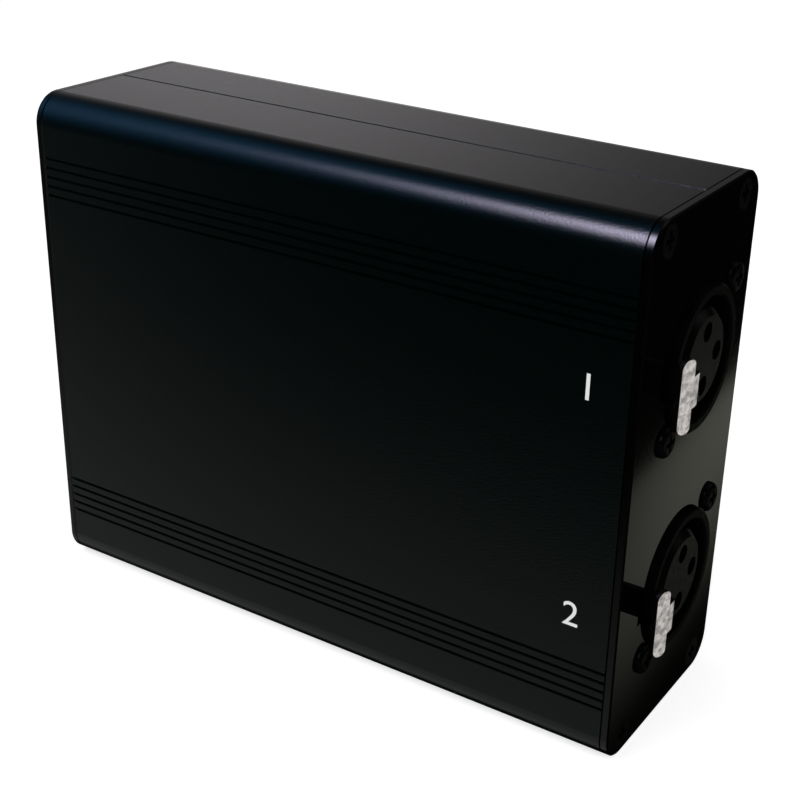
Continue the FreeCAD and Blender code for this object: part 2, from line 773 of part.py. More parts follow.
def make_leaf(name, z):
    """Leaf spring: it lies on the ears and leans on the latch's arm."""
    body = socket_body(name + "_latch_spring", z)
    strip = new_sketch(body, "strip", "XY_Plane")
    seat = "(-latch_pivot_offset - ear_height)"
    touch = "(-latch_inner - latch_thick)"
    start = "(-latch_pivot_depth - ear_length / 2)"
    outline(strip, [
        (start, seat + " - leaf_thick"),
        ("knuckle_radius / 2 - latch_pivot_depth", seat + " - leaf_thick"),
        ("leaf_reach - latch_pivot_depth + leaf_thick", touch),
        ("leaf_reach - latch_pivot_depth", touch),
        ("knuckle_radius / 2 - latch_pivot_depth - leaf_thick / 2", seat),
        (start, seat),
    ])
    pad(body, strip, "leaf_width", both_ways=True)
    foot = new_sketch(body, "foot", "XY_Plane")
    rectangle(foot, start, seat + " - leaf_thick", start + " + ear_height", seat)
    pad(body, foot, "latch_width + 2 * (latch_slot_gap + ear_thick)", both_ways=True)


def make_socket_screws(name, z):
    """Two domed screws that hold a socket to the plate."""
    body = socket_body(name + "_socket_screws", z)
    shaft = new_sketch(body, "shaft", "YZ_Plane")
    head = new_sketch(body, "head", "YZ_Plane")
    for side in ("", "-"):
        circle(shaft, side + "socket_screw_y", side + "socket_screw_z", "socket_screw_shaft")
        circle(head, side + "socket_screw_y", side + "socket_screw_z", "socket_screw_head")
    pad(body, shaft, "socket_screw_length", backwards=True)
    pad(body, head, "socket_screw_crown")
    crown = value("socket_screw_crown")
    dress(body, "Fillet", "socket_screw_crown * socket_screw_dome_share",
          lambda edge: abs(edge.CenterOfMass.x - crown) < crown / 100)
    recess = new_sketch(body, "recess", "YZ_Plane", "socket_screw_crown")
    across = new_sketch(body, "recess_across", "YZ_Plane", "socket_screw_crown")
    for side in ("", "-"):
        centre = (side + "socket_screw_y", side + "socket_screw_z")
        centred_rectangle(recess, centre[0], centre[1], "recess_span", "recess_width")
        centred_rectangle(across, centre[0], centre[1], "recess_width", "recess_span")
    cut(body, recess, "recess_depth")
    cut(body, across, "recess_depth")


# Leads from the contacts to the board

BOARD_LEFT = "(board_end_gap - case_length / 2)"
BOARD_RIGHT = "(%s - housing_depth - socket_to_board)" % PLATE_FACE
BOARD_FACE = "(%s - board_thick / 2)" % BOARD_Y
BOARD_PLANE = "board_thick / 2 - " + BOARD_Y
PLUG_FACE = "(" + BOARD_RIGHT + " - plug_edge)"


def bent_tube(points, radius, bend_share):
    """Round tube along straight runs joined by tangent arcs."""
    edges = []
    start = points[0]
    least = None
    for before, corner, after in zip(points, points[1:], points[2:]):
        back = before - corner
        ahead = after - corner
        reach = bend_share * min(back.Length, ahead.Length)
        half_turn = (math.pi - back.getAngle(ahead)) / 2
        bend = reach / math.tan(half_turn)
        least = bend if least is None else min(least, bend)
        enter = corner + back.normalize() * reach
        leave = corner + ahead.normalize() * reach
        inward = (back + ahead).normalize()
        centre = corner + inward * (bend / math.cos(half_turn))
        edges.append(Part.makeLine(start, enter))
        edges.append(Part.Arc(enter, centre - inward * bend, leave).toShape())
        start = leave
    edges.append(Part.makeLine(start, points[-1]))
    path = Part.Wire(edges)
    ring = Part.Wire(Part.makeCircle(radius, points[0], points[1] - points[0]))
    tube = path.makePipeShell([ring], True, False)
    return tube, least, path.Length


def make_leads(name, z):
    """Three leads of a socket, bent in skewed planes, so they are swept here."""
    radius = value("lead_radius")
    straight = Vector(value("lead_straight"), 0, 0)
    tubes = []
    for y_sign, z_sign in ((0, 1), (1, 0), (0, -1)):
        start = Vector(
            value(PLATE_FACE + " + " + CONTACT_BACK + " - tail_length"),
            value("socket_shift") + y_sign * value("contact_circle"),
            value(z) + z_sign * value("contact_circle"))
        finish = Vector(value(PLUG_FACE), value(BOARD_FACE + " - lead_lift"),
                        value(z) + z_sign * value("lead_pitch"))
        tube, bend, length = bent_tube(
            [start, start - straight, finish + straight, finish], radius,
            value("lead_bend_share"))
        volume = math.pi * radius ** 2 * length
        print("%s lead: least bend radius %.2f, volume %.3f of %.3f"
              % (name, bend, tube.Volume, volume))
        tubes.append(tube)
    leads = doc.addObject("Part::Feature", name + "_socket_leads")
    leads.Label = name + "_socket_leads"
    leads.Shape = Part.makeCompound(tubes)
    leads.Placement = FreeCAD.Placement()
    NODES[leads.Label] = leads


def make_plug(name, z):
    """Lead connector that stands on the board."""
    body = new_body(name + "_lead_connector")
    block = new_sketch(body, "block", "XZ_Plane", BOARD_PLANE)
    rectangle(block, PLUG_FACE + " - plug_length", z + " - plug_width / 2",
              PLUG_FACE, z + " + plug_width / 2", "plug_round")
    pad(body, block, "plug_height")
    groove = new_sketch(body, "latch_groove", "XZ_Plane", BOARD_PLANE + " + plug_height")
    rectangle(groove, PLUG_FACE + " - plug_length / 2", z + " - lead_pitch / 2",
              PLUG_FACE + " + overrun", z + " + lead_pitch / 2")
    cut(body, groove, "plug_groove")


open_socket_plate(socket_plate)
for socket_name, socket_z in (("upper", UPPER_Z), ("lower", LOWER_Z)):
    make_housing(socket_name, socket_z)
    make_insert(socket_name, socket_z)
    make_contacts(socket_name, socket_z)
    make_latch(socket_name, socket_z)
    make_latch_pin(socket_name, socket_z)
    make_leaf(socket_name, socket_z)
    make_socket_screws(socket_name, socket_z)
    make_leads(socket_name, socket_z)
    make_plug(socket_name, socket_z)

# Circuit board

board = new_body("circuit_board")
board_outline = new_sketch(board, "outline", "XZ_Plane", "-" + BOARD_Y)
rectangle(board_outline, BOARD_LEFT, "wall + board_edge_gap",
          BOARD_RIGHT, "case_height - wall - board_edge_gap", "board_round")
pad(board, board_outline, "board_thick", both_ways=True)

# USB socket

MID_Z = "case_height / 2"
USB_Y = "(" + BOARD_FACE + " - usb_height / 2)"
USB_FRONT = "(-" + PLATE_FACE + " - usb_proud)"

usb_shell = new_body("usb_shell")
shell_outer = new_sketch(usb_shell, "outer", "YZ_Plane", USB_FRONT)
centred_rectangle(shell_outer, USB_Y, MID_Z, "usb_height", "usb_width", "usb_sheet * 2")
pad(usb_shell, shell_outer, "usb_length")
shell_inner = new_sketch(usb_shell, "inner", "YZ_Plane", USB_FRONT)
centred_rectangle(shell_inner, USB_Y, MID_Z, "usb_height - 2 * usb_sheet",
                  "usb_width - 2 * usb_sheet", "usb_sheet")
cut(usb_shell, shell_inner, "usb_length - usb_sheet", backwards=True)

usb_core = new_body("usb_insulator")
core_block = new_sketch(usb_core, "block", "YZ_Plane", USB_FRONT + " + usb_sheet")
centred_rectangle(core_block, USB_Y, MID_Z, "usb_height - 2 * usb_sheet - screw_gap",
                  "usb_width - 2 * usb_sheet - screw_gap", "usb_sheet")
pad(usb_core, core_block, "usb_length - 2 * usb_sheet")
mouth = new_sketch(usb_core, "mouth", "YZ_Plane", USB_FRONT + " + usb_sheet")
outline(mouth, [
    (USB_Y + " - usb_mouth_height / 2", MID_Z + " - usb_mouth_width / 2 + usb_mouth_corner"),
    (USB_Y + " - usb_mouth_height / 2 + usb_mouth_corner", MID_Z + " - usb_mouth_width / 2"),
    (USB_Y + " + usb_mouth_height / 2", MID_Z + " - usb_mouth_width / 2"),
    (USB_Y + " + usb_mouth_height / 2", MID_Z + " + usb_mouth_width / 2"),
    (USB_Y + " - usb_mouth_height / 2 + usb_mouth_corner", MID_Z + " + usb_mouth_width / 2"),
    (USB_Y + " - usb_mouth_height / 2", MID_Z + " + usb_mouth_width / 2 - usb_mouth_corner"),
])
cut(usb_core, mouth, "usb_mouth_depth", backwards=True)
USB_TONGUE_FRONT = USB_FRONT + " + usb_sheet + usb_tongue_set_back"
tongue_pad = new_sketch(usb_core, "tongue", "YZ_Plane", USB_TONGUE_FRONT)
centred_rectangle(tongue_pad, USB_Y, MID_Z, "usb_tongue_height", "usb_tongue_width")
pad(usb_core, tongue_pad, "usb_mouth_depth - usb_tongue_set_back + usb_sheet")

usb_contacts = new_body("usb_contacts")
strips = new_sketch(usb_contacts, "strips", "YZ_Plane", USB_TONGUE_FRONT + " + usb_sheet")
for usb_side in ("-", "+"):
    for usb_row in ("-", "+"):
        centred_rectangle(
            strips,
            "%s %s (usb_tongue_height + usb_contact_thick) / 2" % (USB_Y, usb_side),
            "%s %s usb_contact_pitch / 2" % (MID_Z, usb_row),
            "usb_contact_thick", "usb_contact_width")
pad(usb_contacts, strips, "usb_contact_length")

# Status lamps: the local origin is on the outer face of the plate

LED_Y = "(" + BOARD_FACE + " - led_lift)"
LED_Z = "(" + MID_Z + " + led_first)"
lamps = new_body("status_lamps", "-" + PLATE_FACE, LED_Y, LED_Z)
lamp_profile = new_sketch(lamps, "profile", "XY_Plane")
outline(lamp_profile, [
    ("-led_proud", "0"),
    ("-led_proud", "led_radius", "led_radius * led_dome_share"),
    ("led_length - led_rim_thick", "led_radius"),
    ("led_length - led_rim_thick", "led_rim"),
    ("led_length", "led_rim"),
    ("led_length", "0"),
])
lamp_body = turn(lamps, lamp_profile)
lamp_legs = []
for leg_name, leg_side in (("leg_low", "-"), ("leg_high", "")):
    leg = new_sketch(lamps, leg_name, "XY_Plane", leg_side + "led_leg_pitch / 2")
    outline(leg, [
        ("led_length - led_rim_thick / 2", "-led_leg / 2"),
        ("led_length + led_leg * 3", "-led_leg / 2"),
        ("led_length + led_leg * 3", "led_lift"),
        ("led_length + led_leg * 2", "led_lift"),
        ("led_length + led_leg * 2", "led_leg / 2"),
        ("led_length - led_rim_thick / 2", "led_leg / 2"),
    ])
    lamp_legs.append(pad(lamps, leg, "led_leg", both_ways=True))
repeat_line(lamps, [lamp_body] + lamp_legs, "Z_Axis", "led_spacing", "2")

# Openings for the USB socket and the lamps. The plate's own Y runs the other way.

usb_opening = new_sketch(usb_plate, "usb_opening", "YZ_Plane")
centred_rectangle(usb_opening, "-" + USB_Y, MID_Z, "usb_height + 2 * usb_hole_gap",
                  "usb_width + 2 * usb_hole_gap", "usb_sheet * 2")
cut(usb_plate, usb_opening)
lamp_holes = new_sketch(usb_plate, "lamp_holes", "YZ_Plane")
for lamp_z in (LED_Z, LED_Z + " + led_spacing"):
    circle(lamp_holes, "-" + LED_Y, lamp_z, "led_radius + led_hole_gap")
cut(usb_plate, lamp_holes)

# Chips, converter and small parts on the board


def make_chip(label, x, z, length, width, height, sides):
    """Chip with flat legs. Each side is a leg row: direction, pitch, width, count."""
    body = new_body(label)
    block = new_sketch(body, "block", "XZ_Plane", BOARD_PLANE + " + chip_lift")
    centred_rectangle(block, x, z, length, width)
    pad(body, block, height)
    for role, pitch, leg_width, leg_count in sides:
        legs = new_sketch(body, "legs_" + role[0].lower(), "XZ_Plane", BOARD_PLANE)
        span = "%s * (%s - 1)" % (pitch, leg_count)
        leg_length = "chip_leg_reach + chip_leg_root"
        for side in (" + ", " - "):
            middle = side + "(%s + chip_leg_reach - chip_leg_root) / 2"
            if role == "X_Axis":
                centred_rectangle(legs, x + " - " + span + " / 2", z + middle % width,
                                  leg_width, leg_length)
            else:
                centred_rectangle(legs, x + middle % length, z + " - " + span + " / 2",
                                  leg_length, leg_width)
        row = pad(body, legs, "chip_leg_thick")
        repeat_line(body, [row], role, span, leg_count)


CHIP_SIDES = (("X_Axis", "chip_leg_pitch", "chip_leg_width", "chip_leg_count"),
              ("Z_Axis", "chip_leg_pitch", "chip_leg_width", "chip_leg_count"))
CHIP_X = "(%s - chip_set_back)" % BOARD_RIGHT
make_chip("microcontroller", CHIP_X, MID_Z, "chip_side", "chip_side", "chip_height", CHIP_SIDES)
DRIVER_SIDES = (("Z_Axis", "driver_leg_pitch", "driver_leg_width", "driver_leg_count"),)
DRIVER_X = "(%s - driver_set_back)" % BOARD_RIGHT
for socket_name, socket_z in (("upper", UPPER_Z), ("lower", LOWER_Z)):
    make_chip(socket_name + "_line_driver", DRIVER_X, socket_z,
              "driver_width", "driver_length", "driver_height", DRIVER_SIDES)

CONVERTER_RIGHT = "(%s - driver_width / 2 - chip_leg_reach - converter_gap)" % DRIVER_X
CONVERTER_Z = "(wall + converter_rise)"
converter = new_body("isolated_converter")
converter_block = new_sketch(converter, "block", "XZ_Plane", BOARD_PLANE)
centred_rectangle(converter_block, CONVERTER_RIGHT + " - converter_length / 2", CONVERTER_Z,
                  "converter_length", "converter_width", "converter_round")
pad(converter, converter_block, "converter_height")

crystal = new_body("crystal")
crystal_can = new_sketch(crystal, "can", "XZ_Plane", BOARD_PLANE)
CRYSTAL_Z = MID_Z + " + chip_side / 2 + chip_leg_reach + crystal_gap + crystal_width / 2"
centred_rectangle(crystal_can, CHIP_X, CRYSTAL_Z, "crystal_length", "crystal_width", "crystal_round")
pad(crystal, crystal_can, "crystal_height")

cans = new_body("filter_capacitors")
can_ring = new_sketch(cans, "can", "XZ_Plane", BOARD_PLANE)
CAN_X = "%s - converter_length - can_gap - can_radius" % CONVERTER_RIGHT
circle(can_ring, CAN_X, CONVERTER_Z, "can_radius")
circle(can_ring, CAN_X + " - can_spacing", CONVERTER_Z, "can_radius")
pad(cans, can_ring, "can_height")
can_top = value(BOARD_FACE + " - can_height")
dress(cans, "Chamfer", "can_rim",
      lambda edge: abs(edge.CenterOfMass.y - can_top) < value("can_rim") / 10)

small_parts = new_body("chip_resistors")
small_block = new_sketch(small_parts, "block", "XZ_Plane", BOARD_PLANE)
centred_rectangle(small_block, BOARD_LEFT + " + chip_part_inset",
                  "case_height - wall - chip_part_drop", "chip_part_length", "chip_part_width")
small_pad = pad(small_parts, small_block, "chip_part_height")
repeat_line(small_parts, [small_pad], "X_Axis", "chip_part_pitch * (chip_part_columns - 1)",
            "chip_part_columns", "Z_Axis", "chip_part_pitch * (chip_part_rows - 1)",
            "chip_part_rows")

# Nothing is written unless every feature works

doc.recompute()
faults = []
for item in doc.Objects:
    if "Invalid" in item.State or "Error" in item.State:
        faults.append("%s did not compute" % item.Name)
    elif item.TypeId in ("PartDesign::Pocket", "PartDesign::Hole"):
        if item.Shape.Volume >= item.BaseFeature.Shape.Volume:
            faults.append("%s cuts nothing" % item.Name)
for node, thing in NODES.items():
    if thing.Shape.isNull() or not thing.Shape.isValid():
        faults.append("%s has no valid shape" % node)
if faults:
    raise SystemExit("\n".join(faults))

os.makedirs("parts", exist_ok=True)
for node, thing in NODES.items():
    thing.Shape.exportStep("parts/%s.step" % node)
    print("%s: %d solids, %.1f mm3" % (node, len(thing.Shape.Solids), thing.Shape.Volume))
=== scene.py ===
import json
import math

import bmesh
import bpy
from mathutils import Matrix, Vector


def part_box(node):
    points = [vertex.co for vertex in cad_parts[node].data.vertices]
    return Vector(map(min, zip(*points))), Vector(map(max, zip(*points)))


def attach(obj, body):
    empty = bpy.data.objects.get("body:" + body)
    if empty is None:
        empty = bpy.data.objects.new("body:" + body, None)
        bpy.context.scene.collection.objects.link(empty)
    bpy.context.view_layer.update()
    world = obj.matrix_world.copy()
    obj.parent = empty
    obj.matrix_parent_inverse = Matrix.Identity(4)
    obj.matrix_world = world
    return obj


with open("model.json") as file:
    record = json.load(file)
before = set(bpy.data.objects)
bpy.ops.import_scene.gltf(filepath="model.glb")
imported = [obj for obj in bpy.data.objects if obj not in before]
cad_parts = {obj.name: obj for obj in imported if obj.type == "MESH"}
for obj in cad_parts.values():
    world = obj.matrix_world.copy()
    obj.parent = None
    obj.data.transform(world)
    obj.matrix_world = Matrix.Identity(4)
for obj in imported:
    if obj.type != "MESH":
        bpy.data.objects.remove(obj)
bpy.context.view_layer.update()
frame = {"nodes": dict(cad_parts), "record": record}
nodes = frame["nodes"]

# Camera that gives the photograph's view: place, turn in degrees, focal length in millimetres, shift

CAMERA_PLACE = (0.1306, -0.1925, 0.1497)
CAMERA_TURN_DEGREES = (64.905, -1.871, 31.732)
CAMERA_LENS = 67.44
CAMERA_SHIFT = (-0.0688, 0)
CAMERA_NEAREST = 0.01

# Printed numbers

NUMBER_INSET = 0.0065
NUMBER_SIZE = 0.006
INK_THICKNESS = 0.00001

# Grain: where on the noise the low and the high tone stand, its roughness, detail and scale, the bumps

TONE_PLACES = (0.3, 0.7)
METAL_TONE_PLACES = (0.35, 0.65)
NOISE_ROUGHNESS = 0.6
METAL_DETAIL = 4
PLASTIC_DETAIL = 2
METAL_GRAIN = 700
PLASTIC_GRAIN = 900
BOARD_GRAIN = 300
METAL_BUMP = 0.1
PLASTIC_BUMP = 0.15
FINE_BUMP_DEPTH = 0.00003
ANODISED_BUMP_DEPTH = 0.0001

# Where the latches keep their bright metal: forward of this length, or inward of this depth, with a soft
# edge of the next width, and on faces turned outward between the two facing values; the rest of the latch,
# the arm and the side faces, is painted black as shade

LATCH_TAB_START = 0.0588
LATCH_HOOK_START = -0.0092
LATCH_MASK_SOFTNESS = 0.0004
LATCH_FACING_START = 0.3
LATCH_FACING_END = 0.7

# Latch colours: the black is painted shade on the arm and the side faces, the other two are the nickel
# tone; and where on the noise the two bright ones stand

LATCH_PAINTED_SHADE = (0.001, 0.001, 0.001, 1)
LATCH_DULL = (0.4, 0.37, 0.35)
LATCH_BRIGHT = (0.9, 0.86, 0.83)
LATCH_TONE_PLACES = (0.38, 0.6)
LATCH_GRAIN = 900

# The mix node's sockets for colours, which share their names with its other sockets

MIX_FIRST_COLOUR = 6
MIX_SECOND_COLOUR = 7
MIX_COLOUR_RESULT = 2

# Stage: its reach, and how bright it is, set against the photograph

FLOOR_HALF_SIDE = 12.0
BALL_RADIUS = 20
BACKDROP_LIGHT = 1.0
FLOOR_LIFT = 0.72
ROOM_LIGHT = 0.3

# Lights: place, target, side of the square and power

KEY_LIGHT = ((-0.3, -0.6, 0.9), (0.02, 0, 0.04), 0.5, 2.0)
SIDE_LIGHT = ((0.55, -0.25, 0.35), (0.06, 0, 0.045), 0.3, 0.75)

# Bright window, taller than wide and tilted: the turn and lift of its three glows

WINDOW_PLACES = ((-119, 55), (-111, 47.5), (-104, 40))
WINDOW_SPREAD = 7.0
WINDOW_COLOUR = (1.0, 0.92, 1.18)
WINDOW_GLOW = 9.5

# Blue sky beside the window

SKY_PLACE = (-148, 42)
SKY_SPREAD = 20
SKY_COLOUR = (0.12, 0.38, 0.75)
SKY_GLOW = 1.0

# Pale light behind the object: each glow's turn, lift, spread and colour

BACK_GLOWS = ((138, 10, 18, (1.0, 0.96, 1.0)), (127, 4, 7.5, (1.0, 0.96, 0.98)),
              (60, 55, 16, (1.0, 0.98, 0.96)))
BACK_GLOW = 0.33

# Even glow of the table in front: each side's turn and lift, and the lean to it where dark and where full

TABLE_COLOUR = (0.26, 0.265, 0.26)
TABLE_SIDES = ((-90, 50, 0.19, -0.06), (-90, 0, -0.1, 0.2), (180, 0, 0.0, 0.27))

# Even glow of what stands to the right of the table, with its sides given the same way

RIGHT_COLOUR = (0.36, 0.36, 0.31)
RIGHT_SIDES = ((-3.2, 32.5, 0.011, 0.001), (-5.1, 21.5, 0.0, 0.062), (160, 0, -0.12, 0.04))

# Soft light low down all round, for the sides that those leave dark

LOW_TURNS = (-160, -55, 12, 110, 135, 160, 180)
LOW_LIFT = -18
LOW_SPREAD = 12
ROUND_COLOUR = (1.0, 1.0, 1.0)
ROUND_GLOW = 0.25

# Smaller glows of the same light ahead, low down at one corner and overhead

SMALL_PLACES = ((-90, 0), (34, -18), (90, 80))
SMALL_SPREAD = 8.5


def add_object(name, data):
    """New object in the scene."""
    thing = bpy.data.objects.new(name, data)
    bpy.context.scene.collection.objects.link(thing)
    return thing


def make_camera():
    """Camera at the photograph's viewing angle."""
    data = bpy.data.cameras.new("camera")
    data.lens = CAMERA_LENS
    data.shift_x, data.shift_y = CAMERA_SHIFT
    data.clip_start = CAMERA_NEAREST
    camera = add_object("camera", data)
    camera.location = CAMERA_PLACE
    camera.rotation_euler = [math.radians(angle) for angle in CAMERA_TURN_DEGREES]
    bpy.context.scene.camera = camera


# Node materials


class Shader:
    """A material with short ways to add and link nodes."""

    def __init__(self, name, **settings):
        self.material = bpy.data.materials.new(name)
        self.material.use_nodes = True
        self.tree = self.material.node_tree
        self.surface = self.tree.nodes["Principled BSDF"]
        for socket, setting in settings.items():
            self.surface.inputs[socket.replace("_", " ")].default_value = setting

    def add(self, kind, inputs=None, **properties):
        """Add a node. Inputs are plain settings or (node, output name) links."""
        node = self.tree.nodes.new("ShaderNode" + kind)
        for key, setting in properties.items():
            setattr(node, key, setting)
        for key, setting in (inputs or {}).items():
            if isinstance(setting, tuple) and hasattr(setting[0], "outputs"):
                self.tree.links.new(setting[0].outputs[setting[1]], node.inputs[key])
            else:
                node.inputs[key].default_value = setting
        return node

    def drive(self, socket, node, output):
        """Link a node's output to a socket of the surface."""
        self.tree.links.new(node.outputs[output], self.surface.inputs[socket])

    def rise(self, source, output, start, end, **properties):
        """0 where a node's output is at the start, 1 where it is at the end."""
        return self.add("MapRange", {"Value": (source, output), "From Min": start, "From Max": end},
                        **properties)

    def grain(self, scale, detail, stretch=(1, 1, 1)):
        """Noise over the object's own space, stretched along the axes."""
        place = self.add("TexCoord")
        mapping = self.add("Mapping", {"Vector": (place, "Object"), "Scale": stretch})
        return self.add("TexNoise", {"Vector": (mapping, "Vector"), "Scale": scale,
                                     "Detail": detail, "Roughness": NOISE_ROUGHNESS})

    def ramp(self, grain, low, high, places=TONE_PLACES):
        """Ramp over a grain from a low tone to a high one. A tone is a grey or a colour."""
        node = self.add("ValToRGB", {"Fac": (grain, "Fac")})
        for element, place, tone in zip(node.color_ramp.elements, places, (low, high)):
            element.position = place
            colour = tone if isinstance(tone, tuple) else (tone, tone, tone)
            element.color = (*colour, 1)
        return node

    def vary(self, socket, grain, low, high, places=TONE_PLACES):
        """Vary a socket of the surface with a grain, between two tones."""
        self.drive(socket, self.ramp(grain, low, high, places), "Color")

    def bump(self, grain, strength, depth):
        """Bump the surface by a grain."""
        node = self.add("Bump", {"Height": (grain, "Fac"), "Strength": strength, "Distance": depth})
        self.drive("Normal", node, "Normal")


def anodised(name, low, high, scale, stretch, rough_low, rough_high, bump):
    """Black anodised aluminium with a fine die-drawn or brushed grain."""
    shader = Shader(name, IOR=1.5)
    grain = shader.grain(scale, METAL_DETAIL, stretch)
    shader.vary("Base Color", grain, low, high)
    shader.vary("Roughness", grain, rough_low, rough_high)
    shader.bump(grain, bump, ANODISED_BUMP_DEPTH)
    return shader.material


def moulded(name, colour, rough_low, rough_high, gloss=0.5, scale=PLASTIC_GRAIN):
    """Moulded plastic with a fine spark-eroded texture."""
    shader = Shader(name, Base_Color=(*colour, 1), IOR=1.5, Specular_IOR_Level=gloss)
    grain = shader.grain(scale, PLASTIC_DETAIL)
    shader.vary("Roughness", grain, rough_low, rough_high)
    shader.bump(grain, PLASTIC_BUMP, FINE_BUMP_DEPTH)
    return shader.material


def bare_metal(name, dark, light, rough_low, rough_high):
    """Plated or plain metal with worn, uneven polish."""
    shader = Shader(name, Metallic=1.0)
    grain = shader.grain(METAL_GRAIN, METAL_DETAIL)
    shader.vary("Base Color", grain, dark, light, METAL_TONE_PLACES)
    shader.vary("Roughness", grain, rough_low, rough_high)
    shader.bump(grain, METAL_BUMP, FINE_BUMP_DEPTH)
    return shader.material


def pressed_latch(name, rough_low, rough_high):
    """Spring steel with a satin nickel face on the tab that a finger presses and on the hook, where they
    face outward; the arm and the side faces are painted black as shade.
    """
    shader = Shader(name, Metallic=0.35)
    place = shader.add("TexCoord")
    sides = shader.add("SeparateXYZ", {"Vector": (place, "Object")})
    tab = shader.rise(sides, "X", LATCH_TAB_START, LATCH_TAB_START + LATCH_MASK_SOFTNESS)
    hook = shader.rise(sides, "Y", LATCH_HOOK_START, LATCH_HOOK_START + LATCH_MASK_SOFTNESS)
    ends = shader.add("Math", {0: (tab, "Result"), 1: (hook, "Result")}, operation="MAXIMUM")
    facing = shader.add("SeparateXYZ", {"Vector": (place, "Normal")})
    outward = shader.rise(facing, "X", LATCH_FACING_START, LATCH_FACING_END)
    unshaded_mask = shader.add("Math", {0: (ends, "Value"), 1: (outward, "Result")}, operation="MULTIPLY")
    grain = shader.grain(LATCH_GRAIN, METAL_DETAIL)
    bright = shader.ramp(grain, LATCH_DULL, LATCH_BRIGHT, LATCH_TONE_PLACES)
    # painted shade: black on the arm and the side faces, nickel only where the mask is 1
    tone = shader.add("Mix", {"Factor": (unshaded_mask, "Value"), MIX_FIRST_COLOUR: LATCH_PAINTED_SHADE,
                              MIX_SECOND_COLOUR: (bright, "Color")}, data_type="RGBA")
    shader.drive("Base Color", tone, MIX_COLOUR_RESULT)
    shader.vary("Roughness", grain, rough_low, rough_high)
    shader.bump(grain, METAL_BUMP, FINE_BUMP_DEPTH)
    return shader.material


def make_materials():
    """One material for each slot of the record."""
    return {
        "anodised_case": anodised(
            "anodised_case", low=(0.0002, 0.0014, 0.0012), high=(0.0003, 0.0018, 0.0016),
            scale=3200, stretch=(0.8, 1, 1), rough_low=0.12, rough_high=0.17, bump=0.26),
        "anodised_plate": anodised(
            "anodised_plate", low=(0.0005, 0.0005, 0.0005), high=(0.0008, 0.0008, 0.0006),
            scale=1800, stretch=(1, 1, 1), rough_low=0.04, rough_high=0.07, bump=0.01),
        "black_screws": moulded("black_screws", (0.001, 0.001, 0.001), 0.22, 0.3, gloss=0.1),
        "black_moulding": moulded("black_moulding", (0.001, 0.001, 0.001), 0.25, 0.35, gloss=0.06),
        "black_insert": moulded("black_insert", (0.0008, 0.0008, 0.0007), 0.2, 0.28, gloss=0.45),
        "contacts": bare_metal("contacts", (0.5, 0.38, 0.16), (0.8, 0.62, 0.3), 0.2, 0.3),
        "latch_metal": pressed_latch("latch_metal", 0.28, 0.4),
        # steel is near black: painted shade, standing in for the shadow on the leaf spring inside the
        # latch notch
        "steel": bare_metal("steel", (0.02, 0.02, 0.022), (0.04, 0.04, 0.042), 0.35, 0.45),
        "lead_sleeve": moulded("lead_sleeve", (0.1, 0.1, 0.1), 0.4, 0.5),
        "white_moulding": moulded("white_moulding", (0.75, 0.73, 0.68), 0.4, 0.5),
        "board": moulded("board", (0.01, 0.12, 0.04), 0.3, 0.4, scale=BOARD_GRAIN),
        "tinned_steel": bare_metal("tinned_steel", (0.6, 0.6, 0.6), (0.8, 0.8, 0.8), 0.2, 0.3),
        "lamp_lens": moulded("lamp_lens", (0.45, 0.03, 0.02), 0.12, 0.2),
        "chip_moulding": moulded("chip_moulding", (0.02, 0.02, 0.02), 0.5, 0.6),
        "converter_case": moulded("converter_case", (0.015, 0.015, 0.015), 0.4, 0.5),
        "capacitor_sleeve": bare_metal(
            "capacitor_sleeve", (0.5, 0.5, 0.5), (0.7, 0.7, 0.7), 0.3, 0.4),
    }


def dress_nodes(materials):
    """Give every CAD node the material of its slot in the record."""
    for row in frame["record"]["subparts"]:
        mesh = nodes[row["node"]].data
        mesh.materials.clear()
        mesh.materials.append(materials[row["material_slot"]])


def number_sockets():
    """Plain printed number on the front face beside each socket."""
    ink = moulded("white_ink", (0.85, 0.85, 0.85), 0.4, 0.5)
    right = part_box("socket_end_plate")[0][0] - NUMBER_INSET
    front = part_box("front_shell")[0][1]
    for number, socket in enumerate(("upper", "lower"), start=1):
        low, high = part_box(socket + "_socket_insert")
        face = bpy.data.curves.new(f"socket_number_{number}", "FONT")
        face.body = str(number)
        face.size = NUMBER_SIZE
        face.extrude = INK_THICKNESS
        face.align_x = "CENTER"
        face.align_y = "CENTER"
        shape = add_object("number_outline", face)
        mesh = bpy.data.meshes.new_from_object(shape)
        bpy.data.objects.remove(shape)
        bpy.data.curves.remove(face)
        piece = add_object(f"socket_number_{number}", mesh)
        piece.location = (right, front, (low[2] + high[2]) / 2)
        piece.rotation_euler = (math.pi / 2, 0, 0)
        mesh.materials.append(ink)
        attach(piece, "case")


def quiet_sockets():
    """Keep the sockets' housings and screws out of mirror images."""
    for socket in ("upper", "lower"):
        for part in ("_socket_housing", "_socket_screws"):
            nodes[socket + part].visible_glossy = False


# Floor, world and lights


def flat_square(name, half_side, height):
    """Level square on the stage, centred under the object."""
    mesh = bpy.data.meshes.new(name)
    corners = [(-half_side, -half_side, height), (half_side, -half_side, height),
               (half_side, half_side, height), (-half_side, half_side, height)]
    mesh.from_pydata(corners, [], [(0, 1, 2, 3)])
    square = add_object(name, mesh)
    return square


def make_floor():
    """Plain pale floor, too far across for its edge to show."""
    floor = flat_square("floor", FLOOR_HALF_SIDE, 0)
    paint = Shader("floor", Base_Color=(0.9, 0.9, 0.9, 1), Roughness=0.9,
                   Specular_IOR_Level=0.0, Emission_Color=(1, 1, 1, 1), Emission_Strength=FLOOR_LIFT)
    floor.data.materials.append(paint.material)
    floor.visible_glossy = False


